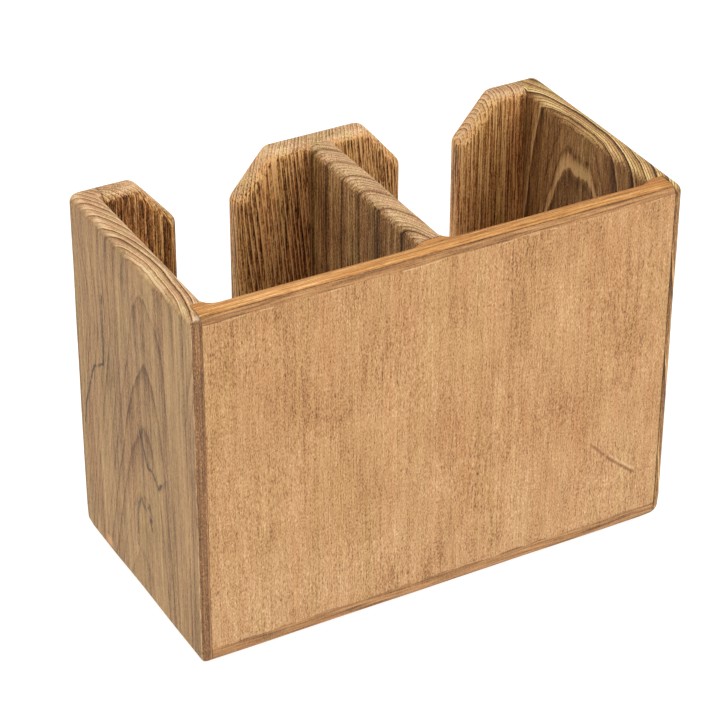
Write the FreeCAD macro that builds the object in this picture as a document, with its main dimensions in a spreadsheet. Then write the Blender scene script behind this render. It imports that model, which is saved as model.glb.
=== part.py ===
"""Two-compartment teak rack: a box of glued boards, open at the top, with two tall slots in one wall.

Frame: origin at the middle of the underside, X along the width, +Z up. The plain three-ply panel
is the wall at -Y, and the three stiles with the slots between them are the wall at +Y.

The panel sits in a rebate along the front of each side, so the sides hide its ends and its edge
shows only on top and underneath. The three stiles stand on the bottom board.

The boards are glued up square and every outside edge is then rounded over in one pass, so the
rounding runs on from board to board across each joint. Two upright edges of the left side are
sharper than the rest. The model is made in the same order: square blanks, the glued carcass, the
rounded carcass, and each board as its blank's share of it.
"""
import FreeCAD, Part
import os
import Sketcher

doc = FreeCAD.newDocument("rack")

# ---------------------------------------------------------------- driving sizes, in millimetres

SIZES = [
    ("overall_width", "240"),
    ("overall_depth", "124"),
    ("overall_height", "176.5"),
    ("board_thickness", "12.5"),
    ("bottom_thickness", "12"),
    ("rebate_lip", "5"),
    ("face_ply_thickness", "2.3"),
    ("core_ply_thickness", "7.4"),
    ("back_ply_thickness", "2.3"),
    ("side_stile_width", "35"),
    ("centre_stile_width", "84.5"),
    ("centre_offset", "-1"),
    ("chamfer_run", "18.3"),
    ("chamfer_rise", "22"),
    ("chamfer_corner_radius", "6"),
    ("edge_radius", "4.8"),
    ("left_back_edge_radius", "3.2"),
    ("left_front_edge_radius", "1.2"),
    ("router_bearing_radius", "5"),
    ("panel_thickness", "=face_ply_thickness + core_ply_thickness + back_ply_thickness"),
    ("panel_width", "=overall_width - 2 * rebate_lip"),
    ("bottom_depth", "=overall_depth - panel_thickness"),
    ("divider_depth", "=bottom_depth - board_thickness"),
    ("clear_width", "=overall_width - 2 * board_thickness"),
    ("stile_height", "=overall_height - bottom_thickness"),
    ("panel_back", "=-overall_depth / 2 + panel_thickness"),
    ("divider_start", "=centre_offset - board_thickness / 2"),
    ("centre_stile_start", "=centre_offset - centre_stile_width / 2"),
    ("right_stile_start", "=clear_width / 2 - side_stile_width"),
]

sizes = doc.addObject("Spreadsheet::Sheet", "Sizes")
for row, (alias, text) in enumerate(SIZES, start=1):
    sizes.set(f"A{row}", alias)
    sizes.set(f"B{row}", text)
    sizes.setAlias(f"B{row}", alias)
doc.recompute()


def size(alias):
    """The value of one cell, in millimetres."""
    return float(sizes.get(alias))


def place(item, x, y, z):
    """Bind where an object stands to three expressions."""
    for axis, expression in (("x", x), ("y", y), ("z", z)):
        item.setExpression(f".Placement.Base.{axis}", expression)


# ---------------------------------------------------------------- square blanks

def block(name, corner, length, width, height):
    """A square board: its lowest corner, then its size along X, Y and Z, all as expressions."""
    item = doc.addObject("Part::Box", name)
    item.setExpression("Length", length)
    item.setExpression("Width", width)
    item.setExpression("Height", height)
    place(item, *corner)
    return item


def rebated_side(name, board_start, rebate_start):
    """A side runs the full depth, less the rebate along its front inner corner for the panel."""
    board = block(
        f"{name}_board", (board_start, "-Sizes.overall_depth / 2", "0"),
        "Sizes.board_thickness", "Sizes.overall_depth", "Sizes.overall_height")
    rebate = block(
        f"{name}_rebate", (rebate_start, "-Sizes.overall_depth / 2", "0"),
        "Sizes.board_thickness - Sizes.rebate_lip", "Sizes.panel_thickness", "Sizes.overall_height")
    blank = doc.addObject("Part::Cut", f"{name}_blank")
    blank.Base = board
    blank.Tool = rebate
    return blank


def wall_blanks():
    """The two sides, the divider that stops at the stiles, and the bottom between the sides."""
    return {
        "left_side": rebated_side(
            "left_side", "-Sizes.overall_width / 2", "-Sizes.panel_width / 2"),
        "right_side": rebated_side(
            "right_side", "Sizes.clear_width / 2", "Sizes.clear_width / 2"),
        "divider": block(
            "divider_blank", ("Sizes.divider_start", "Sizes.panel_back", "Sizes.bottom_thickness"),
            "Sizes.board_thickness", "Sizes.divider_depth", "Sizes.stile_height"),
        "bottom_board": block(
            "bottom_board_blank", ("-Sizes.clear_width / 2", "Sizes.panel_back", "0"),
            "Sizes.clear_width", "Sizes.bottom_depth", "Sizes.bottom_thickness"),
    }


def panel_blanks():
    """The three plies of the panel, from its outer face inwards."""
    blanks = {}
    start = "-Sizes.overall_depth / 2"
    for layer in ("face", "core", "back"):
        thickness = f"Sizes.{layer}_ply_thickness"
        blanks[f"panel_{layer}_ply"] = block(
            f"panel_{layer}_ply_blank", ("-Sizes.panel_width / 2", start, "0"),
            "Sizes.panel_width", thickness, "Sizes.overall_height")
        start = f"{start} + {thickness}"
    return blanks


def add_outline(sketch, points):
    """Join the points by straight lines into a closed outline, and return the number of lines."""
    for start, end in zip(points, points[1:] + points[:1]):
        sketch.addGeometry(Part.LineSegment(FreeCAD.Vector(*start, 0), FreeCAD.Vector(*end, 0)))
    count = len(points)
    for line in range(count):
        sketch.addConstraint(Sketcher.Constraint("Coincident", line, 2, (line + 1) % count, 1))
    return count


def bind(sketch, name, constraint, expression):
    """Add a measured constraint and bind it to a cell."""
    index = sketch.addConstraint(constraint)
    sketch.renameConstraint(index, name)
    sketch.setExpression(f"Constraints.{name}", f"Sizes.{expression}")


def stile_blank(name, width_alias, chamfered, start_x):
    """An upright board whose top corners named in chamfered ("left", "right") are cut off.

    The outline is drawn on the XZ plane with its lowest left corner on the body's origin, and the
    board's thickness runs from there towards -Y.
    """
    body = doc.addObject("PartDesign::Body", f"{name}_blank")
    width = size(width_alias)
    height = size("stile_height")
    run = size("chamfer_run")
    rise = size("chamfer_rise")
    points = [(0, 0), (width, 0)]
    points += [(width, height - rise), (width - run, height)] if "right" in chamfered else [(width, height)]
    points += [(run, height), (0, height - rise)] if "left" in chamfered else [(0, height)]

    sketch = body.newObject("Sketcher::SketchObject", f"{name}_outline")
    plane = next(item for item in body.Origin.OriginFeatures if item.Role == "XZ_Plane")
    sketch.AttachmentSupport = (plane, [""])
    sketch.MapMode = "FlatFace"
    count = add_outline(sketch, points)
    sketch.addConstraint(Sketcher.Constraint("Coincident", 0, 1, -1, 1))
    for line, start in enumerate(points):
        end = points[(line + 1) % count]
        if start[1] == end[1]:
            sketch.addConstraint(Sketcher.Constraint("Horizontal", line))
        elif start[0] == end[0]:
            sketch.addConstraint(Sketcher.Constraint("Vertical", line))
        else:
            first, second = ((line, 1), (line, 2)) if start[1] < end[1] else ((line, 2), (line, 1))
            leftmost, rightmost = ((line, 1), (line, 2)) if start[0] < end[0] else ((line, 2), (line, 1))
            bind(sketch, f"run_{line}",
                 Sketcher.Constraint("DistanceX", *leftmost, *rightmost, run), "chamfer_run")
            bind(sketch, f"rise_{line}",
                 Sketcher.Constraint("DistanceY", *first, *second, rise), "chamfer_rise")
    top_line = next(line for line, start in enumerate(points) if start[1] == height)
    bind(sketch, "width", Sketcher.Constraint("DistanceX", 0, 1, 0, 2, width), width_alias)
    bind(sketch, "height", Sketcher.Constraint("DistanceY", -1, 1, top_line, 1, height), "stile_height")

    pad = body.newObject("PartDesign::Pad", f"{name}_pad")
    pad.Profile = sketch
    pad.setExpression("Length", "Sizes.board_thickness")
    doc.recompute()

    softened = body.newObject("PartDesign::Fillet", f"{name}_corners")
    softened.Base = (pad, chamfer_corner_edges(pad.Shape, height))
    softened.setExpression("Radius", "Sizes.chamfer_corner_radius")
    body.Tip = softened
    place(body, start_x, "Sizes.overall_depth / 2", "Sizes.bottom_thickness")
    return body


def chamfer_corner_edges(shape, height):
    """The names of the edges through the board's thickness at the two ends of each chamfer."""
    names = []
    for number, edge in enumerate(shape.Edges, start=1):
        first, second = [shape.ancestorsOfType(edge, Part.Face)[i].normalAt(0, 0) for i in (0, 1)]
        middle = edge.CenterOfMass
        across = abs(edge.tangentAt(edge.FirstParameter).y) > 0.99
        if across and middle.z > height / 2 and abs(first.dot(second)) > 0.1:
            names.append(f"Edge{number}")
    return names


def stile_blanks():
    """Three stiles stand on the bottom board. The slots lie between them."""
    return {
        "left_stile": stile_blank(
            "left_stile", "side_stile_width", ("right",), "-Sizes.clear_width / 2"),
        "centre_stile": stile_blank(
            "centre_stile", "centre_stile_width", ("left", "right"), "Sizes.centre_stile_start"),
        "right_stile": stile_blank(
            "right_stile", "side_stile_width", ("left",), "Sizes.right_stile_start"),
    }


# ---------------------------------------------------------------- the glued carcass, rounded over

def corner_guides():
    """Concave corner pieces that stand in for what the cutter's round bearing can't reach.

    The bearing rides along the walls, so at the four corners by the panel the rounding follows an
    arc instead of going into the corner. Each guide fills one corner over the depth of the cut.
    They lie outside every board, so nothing of them is left in the finished pieces.
    """
    radius = size("router_bearing_radius")
    depth = size("edge_radius") + 1
    top = size("overall_height")
    panel_back = size("panel_back")
    inner_wall = size("clear_width") / 2
    divider_left = size("divider_start")
    divider_right = divider_left + size("board_thickness")
    guides = []
    for wall_x, inwards in ((-inner_wall, 1), (divider_left, -1), (divider_right, 1), (inner_wall, -1)):
        low_x = min(wall_x, wall_x + inwards * radius)
        square = Part.makeBox(radius, radius, depth, FreeCAD.Vector(low_x, panel_back, top - depth))
        centre = FreeCAD.Vector(wall_x + inwards * radius, panel_back + radius, top - depth)
        guide = doc.addObject("Part::Feature", f"corner_guide_{len(guides) + 1}")
        guide.Shape = square.cut(Part.makeCylinder(radius, depth, centre))
        guides.append(guide)
    return guides


def is_outside_edge(shape, edge):
    """True for a convex edge: just past it, along the first face and off the second, is air."""
    reach = 0.05
    middle = edge.valueAt((edge.FirstParameter + edge.LastParameter) / 2)
    first, second = [face.normalAt(*face.Surface.parameter(middle))
                     for face in shape.ancestorsOfType(edge, Part.Face)]
    is_sharp = first.cross(second).Length > 0.05
    return is_sharp and not shape.isInside(middle + (first - second) * reach, 1e-6, False)


def rounding(edge):
    """The radius for one edge. Along the left, the two upright edges are sharper than the rest."""
    middle = edge.CenterOfMass
    at_left = abs(middle.x + size("overall_width") / 2) < 0.01
    if at_left and abs(middle.y - size("overall_depth") / 2) < 0.01:
        return size("left_back_edge_radius")
    if at_left and abs(middle.y + size("overall_depth") / 2) < 0.01:
        return size("left_front_edge_radius")
    return size("edge_radius")


def rounded_carcass(blanks):
    """All blanks glued together, with every outside edge rounded over."""
    carcass = doc.addObject("Part::MultiFuse", "glued_carcass")
    carcass.Shapes = blanks + corner_guides()
    carcass.Refine = True
    doc.recompute()
    shape = carcass.Shape
    guide_underside = size("overall_height") - size("edge_radius") - 1
    chosen = []
    for number, edge in enumerate(shape.Edges, start=1):
        at_guide = abs(edge.CenterOfMass.z - guide_underside) < 0.01
        if not at_guide and is_outside_edge(shape, edge):
            chosen.append((number, rounding(edge), rounding(edge)))
    rounded = doc.addObject("Part::Fillet", "rounded_carcass")
    rounded.Base = carcass
    rounded.Edges = chosen
    doc.recompute()
    return rounded


def finish_boards(blanks, rounded):
    """Each finished board is the part of the rounded carcass that its blank takes up."""
    boards = []
    for name, blank in blanks.items():
        board = doc.addObject("Part::Common", name)
        board.Base = blank
        board.Tool = rounded
        board.Label = name
        boards.append(board)
    doc.recompute()
    return boards


def check(objects, boards):
    """Stop if anything failed, or if a board isn't one valid solid."""
    for item in objects:
        if {"Invalid", "Error"} & set(item.State):
            raise RuntimeError(f"{item.Name} failed: {item.State}")
    for board in boards:
        shape = board.Shape
        if shape.isNull() or not shape.isValid() or len(shape.Solids) != 1:
            raise RuntimeError(f"{board.Label} isn't one valid solid")


blanks = {**wall_blanks(), **panel_blanks(), **stile_blanks()}
boards = finish_boards(blanks, rounded_carcass(list(blanks.values())))
check(doc.Objects, boards)

os.makedirs("parts", exist_ok=True)
for board in boards:
    board.Shape.exportStep(f"parts/{board.Label}.step")
    print(f"{board.Label}: {board.Shape.Volume / 1000:.1f} cm3")
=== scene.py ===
"""A two-compartment teak rack: solid-wood materials, hand-sanded boards, studio light and camera.

Everything is in metres in the part's own frame, and the materials work in millimetres of that
frame, so the grain runs through each board as it does in solid timber.
"""

import math
from dataclasses import dataclass

import bmesh
import bpy
from mathutils import Matrix, Vector, noise
from mathutils.bvhtree import BVHTree


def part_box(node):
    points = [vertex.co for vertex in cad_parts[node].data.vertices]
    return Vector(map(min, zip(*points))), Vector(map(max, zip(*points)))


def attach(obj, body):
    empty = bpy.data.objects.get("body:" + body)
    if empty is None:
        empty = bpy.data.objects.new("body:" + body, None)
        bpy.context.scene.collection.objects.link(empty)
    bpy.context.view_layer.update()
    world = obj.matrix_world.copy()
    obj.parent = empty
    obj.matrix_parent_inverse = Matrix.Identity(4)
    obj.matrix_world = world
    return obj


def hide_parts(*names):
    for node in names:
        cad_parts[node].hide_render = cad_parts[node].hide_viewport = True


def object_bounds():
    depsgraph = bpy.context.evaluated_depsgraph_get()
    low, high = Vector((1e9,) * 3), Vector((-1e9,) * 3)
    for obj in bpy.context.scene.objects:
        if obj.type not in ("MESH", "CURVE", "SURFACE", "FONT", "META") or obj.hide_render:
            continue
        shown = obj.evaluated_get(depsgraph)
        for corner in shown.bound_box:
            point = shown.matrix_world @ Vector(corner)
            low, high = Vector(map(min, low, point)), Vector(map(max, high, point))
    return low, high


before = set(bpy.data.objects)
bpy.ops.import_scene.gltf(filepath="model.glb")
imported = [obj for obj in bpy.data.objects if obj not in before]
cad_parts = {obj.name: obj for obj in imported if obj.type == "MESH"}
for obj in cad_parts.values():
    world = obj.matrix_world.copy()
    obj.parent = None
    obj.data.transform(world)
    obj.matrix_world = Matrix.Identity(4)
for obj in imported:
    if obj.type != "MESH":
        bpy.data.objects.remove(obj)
CAD_LOW, CAD_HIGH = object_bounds()
MM = 0.001
X, Y, Z = 0, 1, 2


def colour(text):
    """A scene-linear colour from six hexadecimal digits."""
    channels = [int(text[i:i + 2], 16) / 255 for i in (0, 2, 4)]
    return [c / 12.92 if c <= 0.04045 else ((c + 0.055) / 1.055) ** 2.4 for c in channels] + [1.0]


# ---------------------------------------------------------------- writing node trees

class Graph:
    """Writes one material. Each method adds a node and gives back its output."""

    def __init__(self, name):
        self.material = bpy.data.materials.new(name)
        self.material.use_nodes = True
        self.tree = self.material.node_tree
        self.shader = self.tree.nodes["Principled BSDF"]

    def node(self, kind, inputs, **settings):
        made = self.tree.nodes.new("ShaderNode" + kind)
        for key, value in settings.items():
            setattr(made, key, value)
        for key, value in inputs.items():
            self.feed(made.inputs[key], value)
        return made

    def feed(self, socket, value):
        if isinstance(value, bpy.types.NodeSocket):
            self.tree.links.new(value, socket)
        else:
            socket.default_value = value

    def math(self, operation, first, second=0.0, third=0.0):
        return self.node("Math", {0: first, 1: second, 2: third}, operation=operation).outputs[0]

    def add(self, *terms):
        total = terms[0]
        for term in terms[1:]:
            total = self.math("ADD", total, term)
        return total

    def times(self, first, second):
        return self.math("MULTIPLY", first, second)

    def vector(self, operation, first, second=(0, 0, 0), output=0):
        return self.node("VectorMath", {0: first, 1: second}, operation=operation).outputs[output]

    def join(self, x, y, z):
        return self.node("CombineXYZ", {0: x, 1: y, 2: z}).outputs[0]

    def split(self, vector):
        return self.node("SeparateXYZ", {0: vector}).outputs

    def noise(self, place, size, detail=2.0, roughness=0.5, output="Fac"):
        """Noise whose grains have the given size, in millimetres, along X, Y and Z."""
        scaled = self.vector("DIVIDE", place, size)
        inputs = {"Vector": scaled, "Scale": 1.0, "Detail": detail, "Roughness": roughness}
        return self.node("TexNoise", inputs).outputs[output]

    def noise_along(self, value, scale, seed):
        """Noise along one number, centred on zero."""
        inputs = {"W": self.math("MULTIPLY_ADD", value, scale, seed), "Scale": 1.0, "Detail": 1.0}
        made = self.node("TexNoise", inputs, noise_dimensions="1D")
        return self.math("SUBTRACT", made.outputs["Fac"], 0.5)

    def ranged(self, value, low, high, to_low=0.0, to_high=1.0):
        """Smoothly from to_low where value is low to to_high where it is high."""
        inputs = {"Value": value, "From Min": low, "From Max": high,
                  "To Min": to_low, "To Max": to_high}
        return self.node("MapRange", inputs, interpolation_type="SMOOTHSTEP").outputs[0]

    def ramp(self, value, stops):
        """Stops are (place, hexadecimal colour) or (place, grey level)."""
        made = self.node("ValToRGB", {0: value})
        elements = made.color_ramp.elements
        while len(elements) < len(stops):
            elements.new(0.5)
        for element, (place, shade) in zip(elements, stops):
            element.position = place
            element.color = colour(shade) if isinstance(shade, str) else (shade, shade, shade, 1.0)
        return made.outputs["Color"]

    def mix(self, share, first, second, blend="MIX"):
        made = self.node("Mix", {}, data_type="RGBA", blend_type=blend)
        self.feed(made.inputs[0], share)
        self.feed(made.inputs[6], first)
        self.feed(made.inputs[7], second)
        return made.outputs[2]


# ---------------------------------------------------------------- colours

# Palettes run from dark to light, as places on a ramp and their colours.
GREY_TEAK = ((0.0, "4c321e"), (0.25, "7d5b37"), (0.5, "a48057"), (0.75, "b99464"), (1.0, "d5b17f"))
BROWN_TEAK = ((0.0, "331e0f"), (0.25, "684424"), (0.5, "996e3e"), (0.75, "be915b"), (1.0, "e0b67e"))
RED_TEAK = ((0.0, "2c180a"), (0.22, "60391b"), (0.5, "9c673a"), (0.75, "cf9555"), (1.0, "f3c485"))
CUT_TEAK = ((0.0, "3a2414"), (0.3, "7b5434"), (0.6, "b2865a"), (0.85, "cda479"), (1.0, "e8c79c"))
CUT_GOLD = ((0.0, "352110"), (0.3, "78522c"), (0.6, "b1864f"), (0.85, "cda468"), (1.0, "e9c88c"))
LIP_TEAK = ((0.0, "452b19"), (0.35, "765031"), (0.65, "9c714a"), (1.0, "c89b6d"))
FACE_PLY = ((0.0, "6e4527"), (0.25, "a07143"), (0.5, "ba8c5d"), (0.75, "c89c6d"), (1.0, "e0bb90"))
EDGE_PLY = ((0.0, "50301a"), (0.3, "8a5d34"), (0.6, "b3814d"), (1.0, "d6a56c"))
CORE_PLY = ((0.0, "693c14"), (0.3, "98652f"), (0.55, "ba8044"), (0.8, "d19a5a"), (1.0, "ebbe86"))
BARED_PLY = ((0.32, "573822"), (0.44, "8f643c"), (0.56, "ae7f50"), (0.7, "c99a68"))
DRIFT = ((0.3, "f9fff0"), (0.5, "ffffff"), (0.7, "fff7f2"))     # between a yellow and a pink hue

DARK_GLUE = "38241a"
FACE_GLUE = "4c2f1b"
CORE_GLUE = "5a3a1e"
LIP_GLUE = "4a2e1e"
PALE_GLUE = "c9baa6"
CRACK = "3b2f25"
KNOT = "4a3424"
SCRATCH = "7d5030"
BRUISE = "e6c39a"
WORN_EDGE = "dda371"
# The light line along the arris of a side's front edge: a painted highlight, partly wear.
LIP_HIGHLIGHT = "d9b48c"
LIP_INSIDE = "c08c5a"
# The light line on the shoulder of the panel's upper rounding: a painted highlight.
PLY_HIGHLIGHT = "e4c094"
PLY_STEP = "6a472c"
BLEACH = (1.05, 1.1, 1.18, 1.0)      # what the red, green and blue are multiplied by


# ---------------------------------------------------------------- solid teak

@dataclass
class Timber:
    """How one board was cut and how its wood looks. Lengths are in millimetres."""
    board: str                        # the board it is for
    pith: tuple                       # from the board's middle to the heart of the tree
    lean: tuple = (0.0, 0.0)          # how far the heart moves across for each millimetre up
    squeeze: float = 0.0              # how much tighter the rings curve below the board's top
    ring: float = 2.8                 # width of a year
    finer: float = 2.37               # how many fine lines there are in a year
    shift: float = 0.0                # where in a year the count starts, in years
    uneven: float = 1.0               # how much the years differ in width
    wobble: float = 3.0               # how far the rings wander
    ripple: float = 0.8               # and how ragged they are
    season: float = 9.5               # distance between the few darker seasons
    season_depth: float = 0.0         # and their darkness
    tones: tuple = ()                 # long grain, from its darkest to its lightest
    cut_tones: tuple = ()             # end grain
    tone: float = 0.5                 # where the long grain lies on its tones
    cut_tone: float = 0.6             # and the end grain
    ring_depth: float = 0.35          # darkness of the ring lines on long grain
    cut_ring_depth: float = 0.6       # and on end grain
    between: float = 0.0              # strength of the fine lines in between on long grain
    cut_between: float = 0.45         # and on end grain
    glint: float = 0.0                # brightness of the early wood after each ring line
    glint_width: float = 0.3          # and its share of the year
    bands: float = 0.5                # contrast of the broad streaks
    streaks: float = 0.5              # of the fine streaks
    pores: float = 0.5                # of the open pores
    patches: float = 0.3              # of the sanded and weathered patches
    grit: float = 0.25                # of the fuzz on the surface
    # Partly wear, partly a painted highlight where the roundings catch the light:
    wear_and_highlight: float = 0.15                # how much lighter the roundings are
    tint: float = 1.0                 # how much the hue drifts between yellow and pink
    pore_length: float = 7.0          # length of the open pores
    fibre: float = 40.0               # length of the fine streaks
    along_x: bool = False             # the grain runs along X instead of Z
    seed: float = 0.0                 # sets this board's noise apart from the others'


SEED_STEP = (37.0, 91.0, 53.0)       # how far apart the noises of two seeds lie
GREY = (0.5, 0.5, 0.5)               # the middle of coloured noise
# Painted shade: the darkening of surfaces that look down.
UNDERSIDE_SHADE = 0.3                # how much darker the surfaces are that look down
PORE_DEPTH = 0.25 * MM               # the most that pores and fibres stand in or out


class Wood(Graph):
    """A board's material: growth rings about a leaning pith, fibres along the grain, and pores."""

    def __init__(self, spec):
        super().__init__("wood_" + spec.board)
        self.spec = spec
        low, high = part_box(spec.board)
        centre = (low + high) / 2 / MM
        top = high / MM
        coordinates = self.node("TexCoord", {})
        self.true_place = self.vector("MULTIPLY", coordinates.outputs["Object"], (1 / MM,) * 3)
        self.true_normal = coordinates.outputs["Normal"]
        place, normal = self.true_place, self.true_normal
        # Where the grain runs along X, the board is turned so that its grain stands along Z.
        if spec.along_x:
            place, normal = self.turned(place), self.turned(normal)
            centre, top = Vector((centre.z, centre.y, centre.x)), Vector((top.z, top.y, top.x))
        self.place = place
        self.grain = self.vector("ADD", place, tuple(spec.seed * step for step in SEED_STEP))
        self.faces(normal)
        radius = self.from_pith(centre, top.z)
        self.rings(radius)
        self.seasons(radius)
        self.fibres()

    def turned(self, vector):
        x, y, z = self.split(vector)
        return self.join(z, y, x)

    def faces(self, normal):
        """Where the surface cuts across the grain, where it is rounded, and where it looks down."""
        nx, ny, nz = (self.math("ABSOLUTE", part) for part in self.split(normal))
        self.cut = self.ranged(nz, 0.35, 0.85)
        largest = self.math("MAXIMUM", self.math("MAXIMUM", nx, ny), nz)
        self.rounding = self.ranged(largest, 0.99, 0.86)
        # Painted shade: surfaces that look down are darkened in the colour, against the light that the
        # glowing floor throws up.
        self.underside = self.ranged(self.split(self.true_normal)[Z], -0.05, -0.6)

    def swing(self, size, reach, detail=1.0):
        """A push across the grain that varies smoothly from place to place."""
        push = self.vector("SUBTRACT", self.noise(self.grain, size, detail, output="Color"), GREY)
        return self.vector("MULTIPLY", push, (reach * 2, reach * 2, 0))

    def from_pith(self, centre, top):
        """The distance from the heart of the tree, which leans and isn't quite straight."""
        spec = self.spec
        moved = self.vector("ADD", self.place, self.swing((34, 34, 150), spec.wobble))
        moved = self.vector("ADD", moved, self.swing((6, 6, 22), spec.ripple * 0.5, 2.0))
        x, y, z = self.split(moved)
        height = self.math("SUBTRACT", z, top)
        pith_x, pith_y = centre.x + spec.pith[0], centre.y + spec.pith[1]
        upright_x = self.math("MULTIPLY_ADD", height, -spec.lean[0], x)
        upright_y = self.math("MULTIPLY_ADD", height, -spec.lean[1], y)
        across_x = self.math("SUBTRACT", upright_x, pith_x)
        across_y = self.math("SUBTRACT", upright_y, pith_y)
        if spec.squeeze:
            tighter = self.ranged(height, 0.0, -60.0, 1.0, 1.0 + spec.squeeze)
            across_y = self.times(across_y, tighter)
        return self.vector("LENGTH", self.join(across_x, across_y, 0.0), output=1)

    def rings(self, radius):
        """Dark lines where a year's growth ends, fine lines between them, and light early wood."""
        spec = self.spec
        count = self.math("MULTIPLY_ADD", radius, 1 / spec.ring, spec.shift)
        uneven = self.noise_along(count, 0.45, spec.seed * 7 + 3)
        count = self.math("MULTIPLY_ADD", uneven, spec.uneven, count)
        phase = self.math("FRACT", count)
        this_year = {"W": self.math("ADD", self.math("FLOOR", count), spec.seed)}
        chance = self.node("TexWhiteNoise", this_year, noise_dimensions="1D").outputs["Value"]
        line = self.ramp(
            phase, [(0.0, 0.0), (0.30, 0.0), (0.74, 0.28), (0.88, 0.62), (0.95, 1.0), (1.0, 0.2)])
        line = self.times(line, self.math("MULTIPLY_ADD", chance, 0.6, 0.45))
        part_of_year = self.math("FRACT", self.math("MULTIPLY_ADD", count, spec.finer, 0.3))
        thin = self.ramp(part_of_year, [(0.0, 0.0), (0.66, 0.0), (0.84, 1.0), (0.92, 0.6), (1.0, 0.0)])
        self.cut_line = self.math("MAXIMUM", line, self.times(thin, spec.cut_between))
        self.line = self.math("MAXIMUM", line, self.times(thin, spec.between))
        width = spec.glint_width
        self.early = self.ramp(
            phase, [(0.0, 0.4), (0.13 * width, 1.0), (0.47 * width, 0.9), (width, 0.0)])

    def seasons(self, radius):
        """A few darker years."""
        season = self.math("FRACT", self.times(radius, 1 / self.spec.season))
        self.season = self.ramp(
            season, [(0.0, 0.0), (0.6, 0.0), (0.8, 0.25), (0.87, 1.0), (0.91, 0.5), (0.94, 0.0)])

    def fibres(self):
        """Streaks along the grain, pores, patches and the fuzz of a sanded surface."""
        self.band = self.noise(self.grain, (3.2, 3.2, 120), 2.0, 0.55)
        self.streak = self.noise(self.grain, (0.8, 0.8, self.spec.fibre), 2.0, 0.65)
        vessel = self.noise(self.grain, (0.5, 0.5, self.spec.pore_length), 1.0, 0.5)
        self.pore = self.ranged(vessel, 0.57, 0.70)
        self.fleck = self.ranged(vessel, 0.42, 0.30)
        self.patch = self.noise(self.grain, (22, 22, 48), 3.0, 0.55)
        self.grit = self.noise(self.grain, (0.5, 0.5, 1.3), 2.0, 0.75)

    def centred(self, value, strength):
        """From minus strength to strength, where value goes from zero to one."""
        return self.math("MULTIPLY_ADD", value, 2 * strength, -strength)

    def colour(self):
        """The wood's colour: a tone on the long grain's ramp, and another where the grain is cut."""
        spec = self.spec
        common = self.add(
            self.centred(self.patch, spec.patches), self.centred(self.grit, spec.grit),
            self.times(self.season, -spec.season_depth),
            self.times(self.underside, -UNDERSIDE_SHADE), self.times(self.worn_and_highlit(), spec.wear_and_highlight))
        long_tone = self.add(
            common, spec.tone, self.centred(self.band, spec.bands),
            self.centred(self.streak, spec.streaks),
            self.times(self.line, -spec.ring_depth), self.times(self.early, spec.glint),
            self.times(self.pore, -0.4 * spec.pores), self.times(self.fleck, 0.25 * spec.pores))
        cut_tone = self.add(
            common, spec.cut_tone, self.centred(self.band, 0.3 * spec.bands),
            self.centred(self.streak, 0.3 * spec.streaks),
            self.times(self.cut_line, -spec.cut_ring_depth),
            self.times(self.early, 0.15), self.times(self.pore, -0.3 * spec.pores))
        shade = self.mix(
            self.cut, self.ramp(long_tone, spec.tones), self.ramp(cut_tone, spec.cut_tones))
        hue = self.noise(self.grain, (9, 9, 90), 2.0)
        return self.mix(spec.tint, shade, self.ramp(hue, DRIFT), "MULTIPLY")

    def worn_and_highlit(self):
        """Roundings lightened unevenly: partly wear from hands and sandpaper, partly a painted
        highlight.
        """
        patchy = self.ranged(self.noise(self.place, (13, 13, 13), 2.0), 0.3, 0.6, 0.3, 1.0)
        return self.times(self.rounding, patchy)

    def seam(self, shade, axis, plane, strength, width, dark=DARK_GLUE):
        """Darken the surface along a glue line, a plane across one axis of the part's frame."""
        offset = self.math("SUBTRACT", self.split(self.true_place)[axis], plane)
        distance = self.math("ABSOLUTE", offset)
        patchy = self.noise(self.true_place, (2.2, 2.2, 2.2), 2.0)
        broken = self.ranged(patchy, 0.32, 0.58, 0.35, 1.0)
        share = self.times(self.ranged(distance, width, 0.1 * width), broken)
        return self.mix(self.times(share, strength), shade, colour(dark))

    def jittered(self, reach):
        """The place on the board, shaken a little, so that marks drawn from it are ragged."""
        shake = self.noise(self.true_place, (3.0, 3.0, 3.0), 3.0, 0.6, output="Color")
        shake = self.vector("MULTIPLY", self.vector("SUBTRACT", shake, GREY), (reach,) * 3)
        return self.vector("ADD", self.true_place, shake)

    def vein(self, shade, points, width, strength, reach, dark=CRACK):
        """A thin broken line through the points."""
        place = self.jittered(reach)
        nearest = None
        for start, end in zip(points, points[1:]):
            start, step = Vector(start), Vector(end) - Vector(start)
            offset = self.vector("SUBTRACT", place, start)
            along = self.vector("DOT_PRODUCT", offset, step / step.length_squared, output=1)
            along = self.math("MINIMUM", self.math("MAXIMUM", along, 0.0), 1.0)
            reached = self.vector("MULTIPLY", self.join(along, along, along), step)
            distance = self.vector("LENGTH", self.vector("SUBTRACT", offset, reached), output=1)
            nearest = distance if nearest is None else self.math("MINIMUM", nearest, distance)
        broken = self.ranged(self.noise(self.true_place, (5, 5, 5), 2.0), 0.3, 0.55, 0.35, 1.0)
        share = self.times(self.ranged(nearest, width, 0.0), broken)
        return self.mix(self.times(share, strength), shade, colour(dark))

    def speck(self, shade, middle, size, strength, dark=KNOT):
        """A small spot, such as a knot or a dent, with its own size along each axis."""
        offset = self.vector("SUBTRACT", self.jittered(2.0), middle)
        distance = self.vector("LENGTH", self.vector("DIVIDE", offset, size), output=1)
        return self.mix(self.times(self.ranged(distance, 1.0, 0.2), strength), shade, colour(dark))

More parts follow.
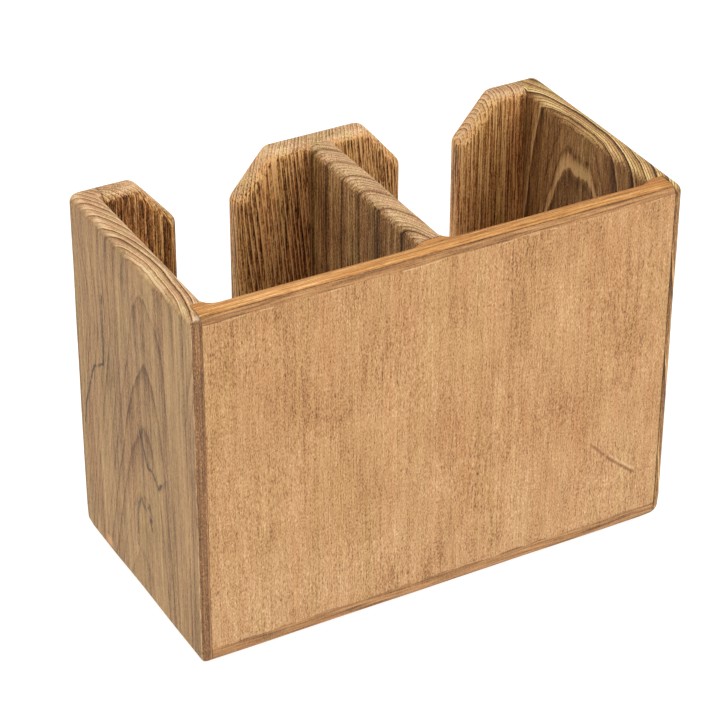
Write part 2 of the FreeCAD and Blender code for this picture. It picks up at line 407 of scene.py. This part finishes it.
    def finish(self, shade):
        """Wire up the shader: an unvarnished surface with open pores and raised fibres."""
        relief = self.add(self.times(self.streak, 0.8), self.times(self.pore, -0.8),
                          self.times(self.line, -0.35), self.times(self.grit, 0.55))
        bump = self.node("Bump", {"Strength": 0.65, "Distance": PORE_DEPTH, "Height": relief})
        self.feed(self.shader.inputs["Base Color"], shade)
        self.feed(self.shader.inputs["Roughness"], self.ranged(self.streak, 0.2, 0.8, 0.58, 0.76))
        self.feed(self.shader.inputs["Specular IOR Level"], 0.3)
        self.feed(self.shader.inputs["Normal"], bump.outputs["Normal"])
        return self.material


def lip_strip(wood, shade, inner_x, outwards):
    """The darker, closer grain that the rounding lays bare along the front edge of a side.

    inner_x is where the panel begins, and outwards is the way from there to the side's outer face.
    """
    x, _, z = wood.split(wood.true_place)
    front = wood.math("MULTIPLY", wood.split(wood.true_normal)[Y], -1.0)
    waver = wood.centred(wood.noise(wood.true_place, (6, 6, 22), 2.0), 0.12)
    front = wood.add(front, waver)
    facing = wood.ranged(front, 0.47, 0.53)
    tone = wood.add(0.43, wood.centred(wood.grit, 0.8), wood.centred(wood.streak, 0.6))
    shade = wood.mix(wood.times(facing, 0.92), shade, wood.ramp(tone, LIP_TEAK))
    # A broken light line on the rounding between the side's face and its front: a painted highlight,
    # partly sanding wear.
    highlight_line = wood.times(wood.ranged(front, 0.12, 0.26), wood.ranged(front, 0.58, 0.5))
    broken = wood.ranged(wood.noise(wood.true_place, (3, 3, 5), 2.0), 0.35, 0.65, 0.0, 0.75)
    shade = wood.mix(wood.times(highlight_line, broken), shade, colour(LIP_HIGHLIGHT))
    depth = wood.add(wood.math("MULTIPLY_ADD", x, outwards, -outwards * inner_x),
                     wood.math("MULTIPLY_ADD", z, 0.004, -1.2))
    line = wood.times(wood.ranged(depth, 0.6, 0.2), wood.ranged(depth, -0.5, -0.1))
    line = wood.times(wood.times(facing, line), broken)
    shade = wood.mix(wood.times(line, 0.75), shade, colour(LIP_GLUE))
    inside = wood.times(facing, wood.ranged(depth, -0.1, -0.6))
    return wood.mix(wood.times(inside, 0.6), shade, colour(LIP_INSIDE))


def side_material(spec, outwards, strip, marks=None):
    """A side, with the glue line where the panel's edge meets it."""
    wood = Wood(spec)
    shade = wood.colour()
    panel_low, panel_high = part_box("panel_face_ply")
    inner_x = (panel_low if outwards < 0 else panel_high).x / MM
    if strip:
        shade = lip_strip(wood, shade, inner_x, outwards)
    if marks:
        shade = marks(wood, shade)
    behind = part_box("panel_back_ply")[1].y / MM
    in_front = wood.ranged(wood.split(wood.true_place)[Y], behind + 0.3, behind - 0.3)
    seamed = wood.seam(shade, X, inner_x, 0.75, 0.5)
    return wood.finish(wood.mix(in_front, shade, seamed))


def left_side_marks(wood, shade):
    """The crack, veins, knot and worn spots of the left side."""
    low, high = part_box("left_side")
    x, front, bottom = (part / MM for part in low)
    back, top = high.y / MM, high.z / MM

    def on_face(down, forwards):
        """A place on the outer face, measured from its rear top corner."""
        return (x, back - forwards, top - down)

    def through(*places):
        return [on_face(*place) for place in places]

    crack = through((36, 33), (72, 31.5), (79, 20.5), (84, 18), (94, 14), (103, 10), (116, 7))
    shade = wood.vein(shade, crack, 1.25, 0.95, 2.0)
    ragged = through((84, 66), (93, 70.5), (101, 74.5), (101, 79), (106, 85), (98, 93))
    shade = wood.vein(shade, ragged, 1.9, 0.95, 4.0)
    arch = through((150, 60.5), (137, 61.3), (129, 62), (122.3, 65.7), (126, 69.8))
    shade = wood.vein(shade, arch, 1.9, 0.7, 3.0)
    curl = through((124, 72.8), (121.5, 74.5), (125, 76), (129, 75), (134, 76.4))
    shade = wood.vein(shade, curl, 1.4, 0.95, 4.0)
    shade = wood.speck(shade, on_face(129, 75.4), (2.2, 1.5, 1.8), 0.8)
    worn_edge = (x + 0.5, back - 28, bottom + 7)
    shade = wood.speck(shade, worn_edge, (3.0, 5.0, 4.0), 0.8, WORN_EDGE)
    gap_at_lip = (x + 1.8, front + 1.9, top - 2.6)
    shade = wood.speck(shade, gap_at_lip, (1.5, 1.5, 1.2), 0.95)
    glue_at_lip = (x + 3.9, front + 2.4, top - 1.0)
    return wood.speck(shade, glue_at_lip, (1.5, 2.6, 1.0), 0.6, PALE_GLUE)


SIDE_TIMBERS = [
    Timber("left_side", pith=(-131, -22), lean=(-0.085, -0.12), squeeze=0.42, ring=2.8, shift=-0.04,
           uneven=0.35, wobble=1.6, between=0.25, ring_depth=0.3, cut_ring_depth=1.05,
           tones=GREY_TEAK, cut_tones=CUT_TEAK, tone=0.54, cut_tone=0.85, bands=0.42, streaks=0.32,
           pores=0.25, patches=0.26, grit=0.45, wear_and_highlight=0.2, seed=1.3),
    Timber("right_side", pith=(-119, 6), lean=(-0.075, 0.04), ring=4.8, finer=4.37, shift=0.79,
           uneven=0.15, wobble=1.2, between=0.4, cut_between=0.9, ring_depth=0.5, cut_ring_depth=1.35,
           glint=0.42, glint_width=0.14, tones=BROWN_TEAK, cut_tones=CUT_GOLD, tone=0.49,
           cut_tone=0.9, bands=0.35, streaks=0.45, pores=0.7, patches=0.2, grit=0.5, wear_and_highlight=0.1,
           seed=2.7),
]
INNER_TIMBERS = [
    Timber("divider", pith=(-120, -82), lean=(0.0, 0.01), ring=1.9, wobble=1.5, season=9.6,
           season_depth=0.5, ring_depth=0.3, cut_ring_depth=0.75, tones=BROWN_TEAK,
           cut_tones=CUT_TEAK, tone=0.6, cut_tone=0.86, bands=0.3, streaks=0.8, pores=0.9,
           patches=0.2, grit=0.9, wear_and_highlight=0.1, seed=3.1),
    Timber("left_stile", pith=(30, 60), lean=(0.02, 0.0), ring=1.6, wobble=2.0, ring_depth=0.35,
           glint=0.3, tones=RED_TEAK, cut_tones=CUT_TEAK, tone=0.48, cut_tone=0.8, bands=0.5,
           streaks=0.9, pores=1.0, patches=0.3, grit=0.6, seed=4.9),
    Timber("centre_stile", pith=(-82, 45), lean=(-0.1, 0.0), ring=1.55, wobble=1.0, ripple=0.5,
           ring_depth=0.5, cut_ring_depth=0.9, glint=0.62, tones=RED_TEAK, cut_tones=CUT_TEAK,
           tone=0.68, cut_tone=0.86, bands=0.35, streaks=0.95, pores=1.2, patches=0.25, grit=0.8,
           wear_and_highlight=0.2, seed=5.3),
    Timber("right_stile", pith=(-19, -2), ring=1.7, wobble=0.8, ring_depth=0.45,
           cut_ring_depth=0.95, glint=0.15, tones=RED_TEAK, cut_tones=CUT_TEAK, tone=0.72,
           cut_tone=0.84, bands=0.4, streaks=0.9, pores=0.8, patches=0.2, grit=0.6, seed=6.1),
    Timber("bottom_board", pith=(90, 30), lean=(0.02, 0.0), along_x=True, ring_depth=0.3,
           tones=BROWN_TEAK, cut_tones=CUT_TEAK, tone=0.6, seed=7.7),
]


def glued_ends():
    """Where boards end against another board and show a dark glue line: axis and place."""
    divider_front, divider_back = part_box("divider")
    return {
        "left_stile": [(X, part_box("left_stile")[0].x)],
        "right_stile": [(X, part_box("right_stile")[1].x)],
        "divider": [(Y, divider_front.y), (Y, divider_back.y)],
    }


def board_materials():
    """One timber per board, because each was cut from another plank."""
    left, right = SIDE_TIMBERS
    made = {left.board: side_material(left, outwards=-1, strip=True, marks=left_side_marks),
            right.board: side_material(right, outwards=1, strip=False)}
    ends = glued_ends()
    for spec in INNER_TIMBERS:
        wood = Wood(spec)
        shade = wood.colour()
        for axis, plane in ends.get(spec.board, ()):
            shade = wood.seam(shade, axis, plane / MM, 0.75, 0.8)
        made[spec.board] = wood.finish(shade)
    return made


# ---------------------------------------------------------------- three-ply panel

def above_bottom(wood):
    """Height above the panel's lower edge, in millimetres."""
    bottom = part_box("panel_face_ply")[0].z / MM
    return wood.math("SUBTRACT", wood.split(wood.true_place)[Z], bottom)


def veneer_edge(wood, shade):
    """Sanding has cut through the face ply at its upper and lower edges, and bares its layers."""
    waver = wood.noise(wood.true_place, (12, 4, 4), 2.0)
    up = wood.add(wood.split(wood.true_normal)[Z], wood.centred(waver, 0.12))
    height = wood.add(above_bottom(wood), wood.centred(waver, 1.6))
    bare = wood.math("MAXIMUM", wood.ranged(up, 0.14, 0.26), wood.ranged(height, 7.6, 6.8))
    layers = wood.noise(wood.true_place, (24, 0.9, 0.9), 3.0, 0.6)
    layers = wood.add(layers, wood.centred(wood.grit, 0.12))
    shade = wood.mix(wood.times(bare, 0.85), shade, wood.ramp(layers, BARED_PLY))
    broken = wood.ranged(wood.noise(wood.true_place, (7, 3, 3), 2.0), 0.42, 0.64)
    # Painted highlight: a broken light line where the face turns into its upper rounding.
    highlight_line = wood.times(wood.ranged(up, 0.03, 0.11), wood.ranged(up, 0.22, 0.14))
    shade = wood.mix(wood.times(highlight_line, wood.times(broken, 0.5)), shade, colour(PLY_HIGHLIGHT))
    step = wood.times(wood.ranged(height, 6.7, 7.0), wood.ranged(height, 7.8, 7.3))
    return wood.mix(wood.times(step, wood.times(broken, 0.5)), shade, colour(PLY_STEP))


def bleached(wood, shade):
    """The lower part of the panel is paler, in clouds."""
    clouds = wood.centred(wood.noise(wood.true_place, (45, 45, 60), 2.0), 70)
    height = wood.add(above_bottom(wood), clouds)
    return wood.mix(wood.ranged(height, 95, 15), shade, BLEACH, "MULTIPLY")


def panel_marks(wood, shade):
    """A long scratch with a bruised edge, open pores, a pin knot and a small dent."""
    left, front, bottom = (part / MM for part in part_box("panel_face_ply")[0])

    def on_face(across, up):
        """A place on the panel, measured from its lower left corner."""
        return (left + across, front, bottom + up)

    scratch = [on_face(192.5, 52), on_face(204, 40), on_face(216, 30)]
    shade = wood.vein(shade, scratch, 1.3, 0.85, 1.5, SCRATCH)
    bruise = [on_face(203, 42.5), on_face(217, 31.5)]
    shade = wood.vein(shade, bruise, 1.1, 0.42, 1.5, BRUISE)
    for across, up in ((210.7, 152), (216, 101), (150, 128), (96, 70)):
        shade = wood.speck(shade, on_face(across, up), (0.7, 0.7, 3.2), 0.6)
    shade = wood.speck(shade, on_face(3.4, 37), (1.3, 1.0, 1.6), 0.65)
    dent = [on_face(17.5, 11), on_face(20, 8.5), on_face(23, 9.5)]
    return wood.vein(shade, dent, 0.6, 0.6, 1.0)


def face_ply(glue_y):
    """The face veneer: fine grain, short pores, and worn through at its edges."""
    wood = Wood(Timber(
        "panel_face_ply", pith=(0, 90), ring=0.62, shift=0.3, uneven=0.4, wobble=0.3, ripple=0.15,
        tones=FACE_PLY, cut_tones=EDGE_PLY, tone=0.53, cut_tone=0.72, ring_depth=0.14,
        cut_ring_depth=0.45, bands=0.18, streaks=0.36, pores=0.42, patches=0.29, grit=0.85,
        wear_and_highlight=-0.15, tint=0.6, pore_length=2.8, fibre=11.0, seed=8.2))
    shade = panel_marks(wood, veneer_edge(wood, bleached(wood, wood.colour())))
    return wood.finish(wood.seam(shade, Y, glue_y, 0.85, 0.4, FACE_GLUE))


def core_ply(glue_y):
    """The core, whose grain runs crosswise."""
    wood = Wood(Timber(
        "panel_core_ply", pith=(40, 160), ring=1.4, along_x=True, wobble=1.0, tones=CORE_PLY,
        cut_tones=CORE_PLY, tone=0.66, ring_depth=0.4, bands=0.35, streaks=0.7, pores=0.5,
        patches=0.2, grit=0.3, wear_and_highlight=0.0, seed=9.4))
    return wood.finish(wood.seam(wood.colour(), Y, glue_y, 0.85, 0.5, CORE_GLUE))


def back_ply():
    """The veneer on the inside."""
    wood = Wood(Timber(
        "panel_back_ply", pith=(0, 90), ring=0.7, wobble=0.25, tones=FACE_PLY, cut_tones=CORE_PLY,
        tone=0.5, ring_depth=0.15, cut_ring_depth=0.3, wear_and_highlight=0.0, seed=10.6))
    return wood.finish(wood.colour())


def ply_materials():
    glue_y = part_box("panel_core_ply")[0].y / MM
    return {"panel_face_ply": face_ply(glue_y), "panel_core_ply": core_ply(glue_y),
            "panel_back_ply": back_ply()}


# ---------------------------------------------------------------- boards as sanded by hand

GRID = 3.6 * MM            # size of the cells that a flat is divided into
GROOVE = 0.22 * MM         # depth of the valley along a glue line
VALLEY = 0.45 * MM         # and half its width
UNEVEN = 0.45 * MM         # how far the sanding went below the flat, at most
SWELL = 34 * MM            # distance over which that varies
SWELL_SEED = 3.7
SKIN = 9 * MM              # how far below the flat the surface follows it
MACHINED = 4.8 * MM        # the radius the edges were cut to
ROUNDED = 1.04 * MACHINED  # width of the strip along an edge that is left to the rounding
WELD = 1e-6                # vertices closer than this are one
CLEAR = 1e-5               # a cut closer than this to a board's face isn't made
TOUCH = 0.05 * MM          # boards closer than this are glued
OPPOSITE = -0.98           # for two normals that face each other, their dot product is below this
SAME_FACE = 0.004          # faces that differ by a smaller angle are one flat, in radians
CREASE = 0.5               # a glued edge that is bent by more than this gets a valley, in radians
SHARP = math.radians(35)
BOARDS = sorted(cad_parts)


@dataclass
class Corner:
    """A corner of the rack, seen along one axis, that was sanded rounder than it was machined."""
    along: int                # the axis it is seen along
    place: Vector
    radius: float
    full: float               # where along the axis it is sanded fully
    gone: float               # and where the extra sanding ends


def rounder_corners():
    """The rear lower corner of the left side, and the right lower corner of the front."""
    low, high = CAD_LOW, CAD_HIGH
    return [
        Corner(X, Vector((low.x, high.y, low.z)), 8.0 * MM, low.x, low.x + 25 * MM),
        Corner(Y, Vector((high.x, low.y, low.z)), 7.7 * MM, low.y, low.y + 30 * MM),
    ]


def faded(value, full, gone):
    """One at full, falling smoothly to nothing at gone."""
    share = min(max((value - gone) / (full - gone), 0.0), 1.0)
    return share * share * (3 - 2 * share)


def sand_corner(point, corner):
    """Draw a point on the machined outline of a corner in to the rounder one."""
    middle = (CAD_LOW + CAD_HIGH) / 2
    axes = [axis for axis in (X, Y, Z) if axis != corner.along]
    inwards = [1.0 if corner.place[axis] < middle[axis] else -1.0 for axis in axes]
    # Outwards from the centre of the rounder corner's arc.
    offset = [corner.radius - (point[axis] - corner.place[axis]) * way
              for axis, way in zip(axes, inwards)]
    reach = math.hypot(*offset)
    if min(offset) <= 0 or reach < WELD:
        return
    ray = [part / reach for part in offset]
    # How far along this ray the machined outline lies, on a flat or on the machined arc.
    shift = corner.radius - MACHINED
    flat = corner.radius / max(ray)
    along = sum(ray) * shift
    arc = along + math.sqrt(max(along ** 2 - 2 * shift ** 2 + MACHINED ** 2, 0.0))
    outline = flat if flat * min(ray) < shift else arc
    weight = faded(point[corner.along], corner.full, corner.gone)
    scale = 1 + (corner.radius / outline - 1) * weight
    for axis, way, part in zip(axes, inwards, offset):
        point[axis] = corner.place[axis] + (corner.radius - part * scale) * way


def sand_flats(point):
    """Take the outside of the rack down a little, unevenly, as a hand does."""
    start = point.copy()
    for axis in (X, Y, Z):
        for face, way in ((CAD_LOW[axis], 1.0), (CAD_HIGH[axis], -1.0)):
            near = faded(abs(start[axis] - face), 0.0, SKIN)
            underneath = axis == Z and way > 0
            if near and not underneath:
                height = noise.noise(start / SWELL + Vector((axis, way, SWELL_SEED)))
                point[axis] += way * near * UNEVEN * (0.5 + 0.5 * height)


def cutting_planes():
    """Along each axis: every board's faces, lines beside them, and an even grid between."""
    planes = []
    for axis in (X, Y, Z):
        faces = sorted({round(corner[axis], 6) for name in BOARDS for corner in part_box(name)})
        places = set(faces[1:-1])
        places |= {face + side for face in faces[1:-1] for side in (-VALLEY, VALLEY)}
        for start, end in zip(faces, faces[1:]):
            start, end = start + ROUNDED, end - ROUNDED
            if end - start > GRID / 2:
                steps = math.ceil((end - start) / GRID)
                places |= {start + (end - start) * i / steps for i in range(steps + 1)}
        planes.append(sorted(places))
    return planes


def cut_board(name, planes):
    """A copy of a board's mesh with its flats cut into cells small enough to sand."""
    mesh = bmesh.new()
    mesh.from_mesh(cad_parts[name].data)
    bmesh.ops.remove_doubles(mesh, verts=mesh.verts, dist=WELD)
    bmesh.ops.dissolve_limit(mesh, angle_limit=SAME_FACE, verts=mesh.verts, edges=mesh.edges)
    low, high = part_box(name)
    for axis, places in enumerate(planes):
        direction = Vector([float(i == axis) for i in range(3)])
        for place in places:
            if low[axis] + CLEAR < place < high[axis] - CLEAR:
                bmesh.ops.bisect_plane(mesh, geom=mesh.verts[:] + mesh.edges[:] + mesh.faces[:],
                                       dist=WELD, plane_co=direction * place, plane_no=direction)
    mesh.normal_update()
    return mesh


def glued_faces(mesh, others):
    """The faces of a board that lie against another board."""
    glued = set()
    for face in mesh.faces:
        middle = face.calc_center_median()
        for tree in others:
            place, normal, _, _ = tree.find_nearest(middle, TOUCH)
            if place is not None and normal.dot(face.normal) < OPPOSITE:
                glued.add(face)
    return glued


def groove(mesh, glued):
    """Push in the edges between a glued face and the open air, so each joint is a fine valley."""
    pushed = {}
    for edge in mesh.edges:
        open_faces = [face for face in edge.link_faces if face not in glued]
        at_joint = len(edge.link_faces) == 2 and len(open_faces) == 1
        if at_joint and edge.calc_face_angle() > CREASE:
            for vert in edge.verts:
                pushed.setdefault(vert, []).append(open_faces[0].normal.copy())
    for vert, normals in pushed.items():
        vert.co -= sum(normals, Vector()).normalized() * GROOVE


def sand(mesh, corners):
    """Round off the corners and take down the flats of one board."""
    for vert in mesh.verts:
        point = vert.co.copy()
        for corner in corners:
            sand_corner(point, corner)
        sand_flats(point)
        vert.co = point


def place_board(name, mesh, material):
    """Put a sanded mesh in the scene in place of the board's machined one."""
    data = bpy.data.meshes.new(name + "_sanded")
    mesh.to_mesh(data)
    mesh.free()
    data.materials.append(material)
    data.shade_smooth()
    data.set_sharp_from_angle(angle=SHARP)
    piece = bpy.data.objects.new(name + "_sanded", data)
    bpy.context.scene.collection.objects.link(piece)
    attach(piece, "root")
    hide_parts(name)


def sanded_boards(materials):
    """Stand a sanded copy in for each machined board."""
    planes = cutting_planes()
    meshes = {name: cut_board(name, planes) for name in BOARDS}
    trees = {name: BVHTree.FromBMesh(mesh) for name, mesh in meshes.items()}
    corners = rounder_corners()
    for name, mesh in meshes.items():
        others = [tree for other, tree in trees.items() if other != name]
        groove(mesh, glued_faces(mesh, others))
        sand(mesh, corners)
        place_board(name, mesh, materials[name])


# ---------------------------------------------------------------- stage, light and camera

FLOOR_REACH = 6.0          # half the floor's width
FLOOR_GAP = 0.2 * MM       # what the floor lies below the rack's underside
FLOOR_GRAIN = (4 * MM,) * 3


def pale_floor():
    """Matt grey paper that glows, so that it looks white all round the rack."""
    paper = Graph("pale_floor")
    place = paper.node("TexCoord", {}).outputs["Object"]
    speckle = paper.noise(place, FLOOR_GRAIN)
    paper.feed(paper.shader.inputs["Base Color"], paper.ramp(speckle, [(0.0, 0.42), (1.0, 0.46)]))
    paper.feed(paper.shader.inputs["Emission Color"], (1.0, 1.0, 1.0, 1.0))
    paper.feed(paper.shader.inputs["Emission Strength"], 0.8)
    paper.feed(paper.shader.inputs["Roughness"], 0.9)
    paper.feed(paper.shader.inputs["Specular IOR Level"], 0.1)
    return paper.material


def make_floor():
    """A wide pale sheet under the rack."""
    height = CAD_LOW.z - FLOOR_GAP
    signs = ((-1, -1), (1, -1), (1, 1), (-1, 1))
    corners = [(x * FLOOR_REACH, y * FLOOR_REACH, height) for x, y in signs]
    mesh = bpy.data.meshes.new("floor")
    mesh.from_pydata(corners, [], [(0, 1, 2, 3)])
    mesh.materials.append(pale_floor())
    floor = bpy.data.objects.new("floor", mesh)
    bpy.context.scene.collection.objects.link(floor)


def make_light(name, place, size, power, tint):
    """A square soft box at place, aimed at the middle of the rack."""
    data = bpy.data.lights.new(name, "AREA")
    data.size = size
    data.energy = power
    data.color = tint
    lamp = bpy.data.objects.new(name, data)
    lamp.location = place
    aim = (CAD_LOW + CAD_HIGH) / 2 - Vector(place)
    lamp.rotation_mode = "QUATERNION"
    lamp.rotation_quaternion = aim.to_track_quat("-Z", "Y")
    bpy.context.scene.collection.objects.link(lamp)


def make_world():
    """Even light from all round, a little warm."""
    world = bpy.data.worlds.new("studio")
    world.use_nodes = True
    background = world.node_tree.nodes["Background"]
    background.inputs["Color"].default_value = (1.0, 0.99, 0.975, 1.0)
    background.inputs["Strength"].default_value = 0.72
    bpy.context.scene.world = world


def make_lights():
    """A soft box in front on the right, and a weaker one above."""
    make_light("key_right", place=(0.75, -1.25, 1.15), size=0.9, power=11, tint=(1.0, 0.98, 0.95))
    make_light("fill_top", place=(-0.5, -0.1, 1.6), size=1.2, power=9, tint=(1.0, 0.99, 0.98))


AZIMUTH = math.radians(-29.406)      # where the camera stands, from straight in front
ELEVATION = math.radians(32.312)     # and how far above the rack's middle
ROLL = math.radians(0.428)
DISTANCE = 5.1975                    # in widths of the rack
AIM_RIGHT = -0.005685                # how far the camera looks past the middle, as slopes
AIM_UP = -0.000529
LENS = 138.075                       # in millimetres, on a sensor of this width
SENSOR = 36.0


def make_camera():
    """The camera stands in front, to the left and above, and looks down on the rack."""
    centre = (CAD_LOW + CAD_HIGH) / 2
    back = Vector((math.sin(AZIMUTH) * math.cos(ELEVATION),
                   -math.cos(AZIMUTH) * math.cos(ELEVATION), math.sin(ELEVATION)))
    ahead = -back
    right = ahead.cross(Vector((0, 0, 1))).normalized()
    up = right.cross(ahead)
    right, up = (right * math.cos(ROLL) + up * math.sin(ROLL),
                 up * math.cos(ROLL) - right * math.sin(ROLL))
    ahead = (ahead + right * AIM_RIGHT + up * AIM_UP).normalized()
    right = (right - ahead * right.dot(ahead)).normalized()
    up = right.cross(ahead)
    data = bpy.data.cameras.new("camera")
    data.lens = LENS
    data.sensor_width = SENSOR
    data.clip_start = 0.01
    data.clip_end = 50.0
    camera = bpy.data.objects.new("camera", data)
    bpy.context.scene.collection.objects.link(camera)
    turn = Matrix((right, up, -ahead)).transposed().to_4x4()
    distance = DISTANCE * (CAD_HIGH.x - CAD_LOW.x)
    camera.matrix_world = Matrix.Translation(centre + back * distance) @ turn
    bpy.context.scene.camera = camera


sanded_boards(board_materials() | ply_materials())
make_floor()
make_world()
make_lights()
make_camera()
bpy.context.scene.view_settings.view_transform = "Standard"
